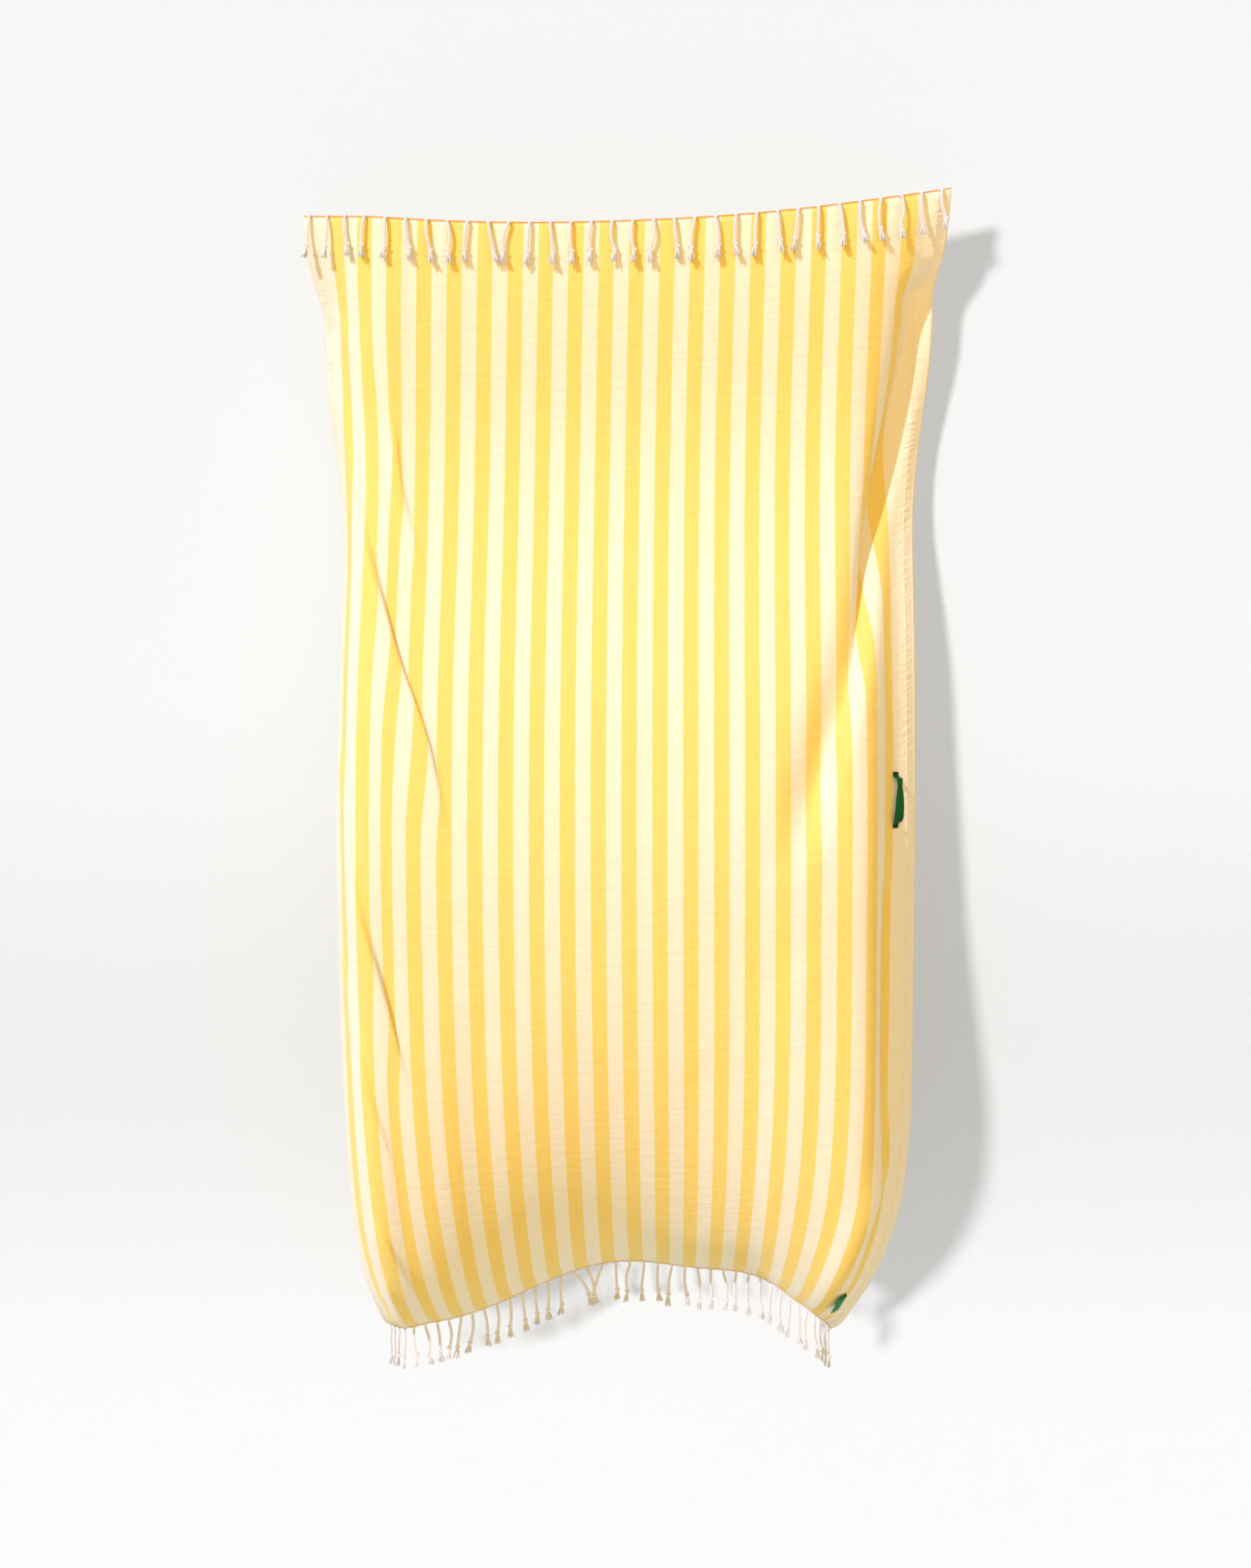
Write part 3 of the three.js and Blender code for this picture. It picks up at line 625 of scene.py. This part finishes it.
# The yarns that lead to the tassels: their radii, and how far each starts to the side of its tassel.
TOP_YARN, TOP_YARN_APART, TOP_YARN_RISE = 1.0, 2.2, 3.4
BOTTOM_YARN, BOTTOM_YARN_APART = 0.9, 3.4
ARC_THREAD, ARC_ENDS, ARC_RISE = 0.55, 3.2, 1.6


def tassel_places(count):
    """How far each tassel of an edge hangs from the cloth's middle line."""
    return WIDTH * ((np.arange(count) + 0.5) / count - 0.5)


def knot(centre, size, radius, turned):
    """An overhand knot: a thick cord along the trefoil (sin t + 2 sin 2t, -1.6 sin 3t, cos t - 2 cos 2t)."""
    t = np.linspace(0, 2 * np.pi, KNOT_STEPS) + turned
    path = np.stack([np.sin(t) + 2 * np.sin(2 * t), -1.6 * np.sin(3 * t), np.cos(t) - 2 * np.cos(2 * t)], axis=1)
    path = path * size / 3
    return tube(centre + path, radius, 6, unit(path))


def tassel(root, tip_lean, bend, length, out, across, rng):
    """One tassel below its root: a two-ply cord, its knot and its brushed tip.

    The cord's middle line is root + down * cord * s + across * (lean * s + bend * sin(pi s)) with a small bow
    outwards, and each ply winds round it. The tip's strands leave the knot and spread towards their ends."""
    down = np.array([0.0, 0.0, -1.0])
    cord = length * (1 - TIP_SHARE)
    s = np.linspace(0, 1, CORD_STEPS)[:, None]
    bow = CORD_BOW * np.sin(np.pi * s) * out
    middle = root + down * cord * s + across * (tip_lean * s + bend * np.sin(np.pi * s)) + bow
    parts = []
    for phase in (0, np.pi):
        angle = 2 * np.pi * cord * s / PLY_TURN + phase
        ply = middle + PLY_OFFSET * (np.cos(angle) * across + np.sin(angle) * out)
        parts.append(tube(ply, PLY_RADIUS, 6, out))
    centre = middle[-1] + down * 2
    parts.append(knot(centre, KNOT_SIZE, KNOT_CORD, rng.uniform(0, 6)))
    # the tip keeps some of the cord's lean and turns a little of its own way
    tip = length * TIP_SHARE
    aim = unit(down + across * (tip_lean / cord * 0.5 + rng.uniform(-0.25, 0.25)) + out * rng.uniform(-0.08, 0.12))
    t = np.linspace(0, 1, 7)[:, None]
    for number in range(TIP_STRANDS):
        angle = STRAND_TURN * number + rng.uniform(0, 0.5)
        spread = np.sqrt((number + 0.5) / TIP_STRANDS) * rng.uniform(4.6, 6.6)
        way = np.cos(angle) * across + np.sin(angle) * out
        reach = tip * rng.uniform(0.8, 1.0)
        wave = rng.uniform(-0.5, 0.5) * np.sin(2 * np.pi * t) * across
        strand = centre + aim * (1 + reach * t) + way * (0.8 + (spread - 0.8) * t ** 0.8) + wave
        parts.append(tube(strand, STRAND_RADIUS - STRAND_TAPER * t[:, 0], 4, (1.0, 1.0, 0.0)))
    return gather(parts)


# Tassels that have caught on their neighbours, by their number from the left, and how far their knots lean.
TOP_LEANS = {9: 7.0, 10: -9.0, 18: 4.0, 24: -5.0}
BOTTOM_LEANS = {17: 26.0, 18: 11.0, 19: -13.0, 38: 6.0, 39: -5.0, 40: 7.0}


def make_fringe(edge, count, length, leans, seed):
    """All the tassels of one edge, in neighbouring pairs, each pair on its own body and turning about its root."""
    rng = np.random.default_rng(seed)
    top = edge == "top"
    places = tassel_places(count)
    b = np.full(count, 0.0 if top else LENGTH)
    out, across = unit(sample(CLOTH_OUT, places, b)), unit(sample(CLOTH_ACROSS, places, b))
    roots = sample(CLOTH, places, b)
    if top:
        roots = roots + out * ROOT_OUT
    else:
        roots = roots + np.array([0, 0, -ROOT_DROP])
    level_out = unit(out * [1, 1, 0])
    for pair in range(count // 2):
        body = f"{edge}_tassels_{pair + 1:02d}"
        parts = []
        for number in (2 * pair, 2 * pair + 1):
            lean = leans.get(number, rng.uniform(-MOST_LEAN, MOST_LEAN))
            bend, full_length = rng.uniform(-MOST_BEND, MOST_BEND), length * rng.uniform(SHORTEST, 1.0)
            parts.append(tassel(roots[number], lean, bend, full_length, level_out[number], across[number], rng))
        points, faces = gather(parts)
        make_piece(f"{body}_knotted", points, faces, FRINGE_COTTON, body, [body])
    return roots, out, across


def make_top_roots(roots, out, across):
    """The warp ends above the top edge: for each tassel two yarns that rise over the hem and meet at its root."""
    places = tassel_places(TOP_COUNT)
    t = np.linspace(0, 1, 8)[:, None]
    yarns = []
    for number, root in enumerate(roots):
        for side in (-1, 1):
            start = sample(CLOTH, places[number] + TOP_YARN_APART * side, 2.0) + out[number] * 0.9
            rise = np.array([0, 0, TOP_YARN_RISE]) * np.sin(np.pi * t ** 0.8)
            end = root + across[number] * 0.8 * side
            yarns.append(tube(start + (end - start) * t + rise, TOP_YARN, 5, across[number]))
    points, faces = gather(yarns)
    make_piece("top_fringe_roots", points, faces, FRINGE_COTTON, "towel")


def make_bottom_roots(roots, out):
    """The warp ends below the bottom edge: two yarns run down to each tassel's root, and a thread hangs in a
    shallow arc from each root to the next."""
    places = tassel_places(BOTTOM_COUNT)
    t = np.linspace(0, 1, 8)[:, None]
    yarns = []
    for number, root in enumerate(roots):
        for side in (-1, 1):
            start = sample(CLOTH, places[number] + BOTTOM_YARN_APART * side, LENGTH)
            yarns.append(tube(start + (root - start) * t, BOTTOM_YARN, 5, out[number]))
    for number in range(BOTTOM_COUNT - 1):
        a = places[number] + (places[number + 1] - places[number]) * t[:, 0]
        sag = ARC_ENDS - ARC_RISE * np.sin(np.pi * t)
        path = sample(CLOTH, a, LENGTH) - np.array([0, 0, 1.0]) * sag
        yarns.append(tube(path, ARC_THREAD, 4, out[number]))
    points, faces = gather(yarns)
    make_piece("bottom_fringe_roots", points, faces, FRINGE_COTTON, "towel")


# ---- ribbon loop and label ----------------------------------------------------------------------------------

# The loop, in mm: its span and ribbon width, its sewn ends, how far it arches out and leans, and its twist in
# radians. Its ribbon is pinched by LOOP_PINCH around PINCH_AT of the way down, and fuller by LOOP_FULLER below.
LOOP_SPAN, LOOP_WIDTH = 66.0, 12.0
LOOP_TAB, TAB_GAP, TAB_LIFT = 9.0, 0.7, 0.7
LOOP_ARCH, LOOP_LEAN, LOOP_TWIST = 3.5, 2.2, -0.55
LOOP_PINCH, PINCH_AT, PINCH_REACH = 4.0, 0.27, 0.13
LOOP_FULLER, FULLER_SHARES = 4.5, (0.4, 0.95)
RIBBON, RIBBON_COLUMNS = 0.9, 7
SEWN_WIDTH = 0.98
TACK_REACH, TACK_STEPS, TACK_DEPTH, TACK_THREAD = 0.42, 25, 1.6, 0.35

# The label, in mm: its length along the fold, how far it stands out, its ribbon's thickness and how it curls.
LABEL_LENGTH, LABEL_DEPTH, LABEL_RIBBON = 42.0, 16.0, 0.5
LEAF_GAP, LABEL_CURL, LABEL_TAIL = 0.95, 1.1, 7


def ribbon(line, width, across, thickness=RIBBON):
    """A strip of ribbon along a line of points: width mm wide along across, with its two faces thickness apart."""
    tangent = unit(np.gradient(line, axis=0))
    across = unit(np.broadcast_to(across, line.shape))
    face = unit(np.cross(tangent, across))
    share = np.linspace(-0.5, 0.5, RIBBON_COLUMNS)
    width = np.broadcast_to(width, (len(line),))
    middle = line[:, None] + across[:, None] * (share[None, :, None] * width[:, None, None])
    points, faces = shell(middle + face[:, None] * thickness / 2, middle - face[:, None] * thickness / 2)
    run = np.concatenate([[0], np.cumsum(np.linalg.norm(np.diff(line, axis=0), axis=1))])
    place = np.stack([np.repeat(run, len(share)), (share[None, :] * width[:, None]).ravel(),
                      np.zeros(len(line) * len(share))], axis=1)
    return points, faces, np.concatenate([place, place])


def joint_place(name):
    """A hinge's point in millimetres and its direction."""
    joint = JOINTS[name]
    return np.array(joint["pos_m"]) / MM, unit(np.array(joint["axis"]))


def make_loop():
    """The hanging loop: an arch of ribbon between its feet, pinched near its upper end and fuller lower down."""
    pivot, down = joint_place("hanging_loop_flap")
    out = unit(sample(CLOTH_OUT, LOOP_A, LOOP_B))
    out = unit(out - down * (out @ down))
    left = np.cross(down, out)
    t = np.linspace(0, 1, 40)
    run = -LOOP_SPAN / 2 * np.cos(np.pi * t)
    arch = LOOP_ARCH * np.sin(np.pi * t ** 1.12) ** 0.85
    lean = LOOP_LEAN - 2 * LOOP_LEAN * t
    line = pivot + down * run[:, None] + out * arch[:, None] - left * lean[:, None]
    twist = (LOOP_TWIST * np.sin(np.pi * t))[:, None]
    turned = np.cos(twist) * left + np.sin(twist) * out
    width = LOOP_WIDTH - LOOP_PINCH * np.exp(-(((t - PINCH_AT) / PINCH_REACH) ** 2))
    width = width + LOOP_FULLER * smooth(*FULLER_SHARES, t)
    points, faces, places = ribbon(line, width, turned)
    make_piece("hanging_loop_ribbon", points, faces, GREEN_RIBBON, "hanging_loop",
               ["hanging_loop"], places)
    for side, name in ((-1, "upper"), (1, "lower")):
        # a sewn end: flat on the cloth, then bent up to the loop's foot
        foot = pivot + down * side * LOOP_SPAN / 2
        far = LOOP_B + side * (LOOP_SPAN / 2 + LOOP_TAB + TAB_GAP)
        b = np.linspace(far, LOOP_B + side * LOOP_SPAN / 2, 12)
        rest = on_cloth(np.full_like(b, LOOP_A), b, HEM_SURFACE + TAB_LIFT)
        rise = smooth(0.45, 1, np.linspace(0, 1, 12))[:, None]
        points, faces, places = ribbon(rest * (1 - rise) + foot * rise, LOOP_WIDTH * SEWN_WIDTH, left)
        make_piece(f"loop_end_{name}", points, faces, GREEN_RIBBON, "towel",
                   [f"loop_tab_{name}"], places)
        make_bar_tack(f"loop_tack_{name}", LOOP_A, LOOP_B + side * (LOOP_SPAN / 2 + LOOP_TAB * 0.75), left)


def make_bar_tack(name, a, b, along_tack):
    """A short row of thread across a ribbon's sewn end: a zigzag of stitches side by side."""
    steps = np.linspace(-1, 1, TACK_STEPS)
    centre = on_cloth(a, b, HEM_SURFACE + RIBBON + 1.0)
    down = unit(sample(CLOTH_DOWN, a, b))
    zigzag = (np.arange(TACK_STEPS) % 2 - 0.5)[:, None] * TACK_DEPTH
    path = centre + along_tack * (steps * LOOP_WIDTH * TACK_REACH)[:, None] + down * zigzag
    points, faces = tube(path, TACK_THREAD, 4, unit(sample(CLOTH_OUT, a, b)))
    make_piece(name, points, faces, GREEN_RIBBON, "towel")


def make_label():
    """The care label: a ribbon folded in two, its fold at the far edge and its ends caught in the seam."""
    pivot, down = joint_place("care_label_flap")
    out = unit(sample(CLOTH_OUT, LABEL_A, LABEL_B))
    out = unit(out - down * (out @ down))
    left = np.cross(down, out)
    t = np.linspace(-1, 1, 26)
    # out and back again: two leaves that part by up to twice LEAF_GAP and meet in a round fold
    reach = LABEL_DEPTH * (1 - np.abs(t) ** 1.15) - 0.3
    part = LEAF_GAP * np.sign(t) * np.abs(np.sin(np.pi * t)) ** 0.6
    curl = LABEL_CURL * (reach / LABEL_DEPTH) ** 2
    line = pivot + left * reach[:, None] + out * (part + curl)[:, None]
    points, faces, places = ribbon(line, LABEL_LENGTH, down, LABEL_RIBBON)
    make_piece("care_label_folded", points, faces, GREEN_LABEL, "care_label",
               ["care_label"], places)
    # the strip of ribbon caught under the seam stitches
    share = np.linspace(0, 1, 10)[:, None]
    a = LABEL_A + LABEL_TAIL - LABEL_TAIL * share[:, 0]
    rest = on_cloth(a, np.full(10, LABEL_B), THICKNESS / 2 + LABEL_RIBBON)
    rise = smooth(0.3, 1, share)
    points, faces, places = ribbon(rest * (1 - rise) + pivot * rise, LABEL_LENGTH * SEWN_WIDTH, down, LABEL_RIBBON)
    make_piece("label_seam_strip", points, faces, GREEN_LABEL, "towel", (), places)


# ---- camera, lights and stage -------------------------------------------------------------------------------

# All in metres. The paper hangs PAPER_NEAR behind the towel's corners, and sweeps back by PAPER_SWEEP between the
# two depths in PAPER_BEND.
CAMERA_DISTANCE = 3.3
VIEW_CENTRE = -0.888
VIEW_HEIGHT = 2.397
FLOOR, FLOOR_HALF = -2.9, 8
PAPER_TOP, PAPER_HALF, PAPER_ROWS = 1.5, 6, 40
PAPER_NEAR, PAPER_SWEEP, PAPER_BEND = 0.15, 0.32, (0.8, 1.9)
FLOOR_SHADE, PAPER_SHADE = 0.8, 0.5

# Lamps: the strength, how wide it looks in degrees, the way its light travels, and its colour.
KEY_LIGHT = (3.5, 1.2, (0.85, 1.0, -0.95), (0.74, 0.74, 1.0))
WARM_BOUNCE = (3.2, 110.0, (-0.2, 1.0, 0.4), (1.0, 0.58, 0.05))
BACKDROP_WASH = (2.25, 10.0, (0, 1, -0.3))
BACKDROP_LIGHT = (2.75, 6.0, (0.6, 1.0, -0.1))
ROOM_LIGHT = 0.36


def make_camera():
    """A level camera straight in front, whose view is VIEW_HEIGHT tall at the plane of the towel's top corners."""
    camera = bpy.data.cameras.new("camera")
    camera.lens = camera.sensor_width * CAMERA_DISTANCE / VIEW_HEIGHT
    holder = bpy.data.objects.new("camera", camera)
    holder.location = (0, -CAMERA_DISTANCE, VIEW_CENTRE)
    holder.rotation_euler = (np.pi / 2, 0, 0)
    bpy.context.scene.collection.objects.link(holder)
    bpy.context.scene.camera = holder


def make_sun(name, energy, angle, travels, colour=(1.0, 1.0, 1.0)):
    """A distant lamp whose light travels along a direction. A wide angle makes it soft."""
    lamp = bpy.data.lights.new(name, "SUN")
    lamp.energy = energy
    lamp.color = colour
    lamp.angle = np.radians(angle)
    holder = bpy.data.objects.new(name, lamp)
    holder.rotation_mode = "QUATERNION"
    holder.rotation_quaternion = Vector(travels).to_track_quat("-Z", "Y")
    bpy.context.scene.collection.objects.link(holder)
    return holder


def light_up(lamp, objects, reaches):
    """The lamp lights only these objects, or everything but them."""
    linked = bpy.data.collections.new(f"{lamp.name}_reach")
    for item in objects:
        linked.objects.link(item)
    if not reaches:
        for member in linked.collection_objects:
            member.light_linking.link_state = "EXCLUDE"
    lamp.light_linking.receiver_collection = linked


def stage_sheet(name, rows, shade, one_sided):
    """A large sheet in plain matte paint through rows of points. A one-sided sheet is clear from behind."""
    rows = np.array(rows, float)
    mesh = bpy.data.meshes.new(name)
    mesh.from_pydata(rows.reshape(-1, 3).tolist(), [], grid_quads(*rows.shape[:2]).tolist())
    material = bpy.data.materials.new(name)
    material.use_nodes = True
    tree = material.node_tree
    shader = tree.nodes["Principled BSDF"]
    shader.inputs["Base Color"].default_value = (shade, shade, shade, 1)
    shader.inputs["Roughness"].default_value = 1
    shader.inputs["Specular IOR Level"].default_value = 0
    if one_sided:
        facing = add_node(tree, "ShaderNodeNewGeometry", output="Backfacing")
        clear = add_node(tree, "ShaderNodeBsdfTransparent")
        mixed = add_node(tree, "ShaderNodeMixShader", [facing, shader.outputs[0], clear])
        tree.links.new(mixed, tree.nodes["Material Output"].inputs["Surface"])
    mesh.materials.append(material)
    mesh.polygons.foreach_set("use_smooth", np.ones(len(mesh.polygons), bool))
    sheet = bpy.data.objects.new(name, mesh)
    bpy.context.scene.collection.objects.link(sheet)
    return sheet


def make_stage():
    """A pale floor well below the towel, a pale paper backdrop hanging close behind it and sweeping away below,
    soft light from all round and four lamps: two for the towel, two for the floor and the paper."""
    half = FLOOR_HALF
    floor = stage_sheet("floor", [[(-half, half, FLOOR), (half, half, FLOOR)],
                                  [(-half, -half, FLOOR), (half, -half, FLOOR)]], FLOOR_SHADE, False)
    z = np.linspace(PAPER_TOP, FLOOR, PAPER_ROWS)
    y = PAPER_NEAR + PAPER_SWEEP * smooth(*PAPER_BEND, -z)
    paper = np.stack([np.stack([np.full(PAPER_ROWS, x), y, z], axis=1) for x in (-PAPER_HALF, PAPER_HALF)], axis=1)
    wall = stage_sheet("backdrop", paper, PAPER_SHADE, True)
    scene = bpy.context.scene
    scene.view_settings.view_transform = "Standard"
    scene.world = bpy.data.worlds.new("studio")
    scene.world.use_nodes = True
    background = scene.world.node_tree.nodes["Background"]
    background.inputs["Color"].default_value = (1, 1, 1, 1)
    background.inputs["Strength"].default_value = ROOM_LIGHT
    key, bounce = make_sun("key_light", *KEY_LIGHT), make_sun("warm_bounce", *WARM_BOUNCE)
    wash, shade = make_sun("backdrop_wash", *BACKDROP_WASH), make_sun("backdrop_light", *BACKDROP_LIGHT)
    wash.data.use_shadow = False
    for lamp in (key, bounce):
        light_up(lamp, [floor, wall], False)
    for lamp in (wash, shade):
        light_up(lamp, [floor, wall], True)


# ---- the towel ----------------------------------------------------------------------------------------------

make_camera()
cloth = make_cloth()
make_hem_stitching()
# the top edge's thread carries painted shade in its darker orange
make_edge_overlock("top", 0.0, -OVERLOCK_OUTSIDE, ORANGE_THREAD_AND_PAINTED_SHADE)
make_edge_overlock("bottom", LENGTH, OVERLOCK_OUTSIDE, YELLOW_THREAD)
make_top_roots(*make_fringe("top", TOP_COUNT, TOP_TASSEL, TOP_LEANS, seed=11))
bottom_roots, bottom_out, _ = make_fringe("bottom", BOTTOM_COUNT, BOTTOM_TASSEL, BOTTOM_LEANS, seed=23)
make_bottom_roots(bottom_roots, bottom_out)
make_loop()
make_label()
make_stage()
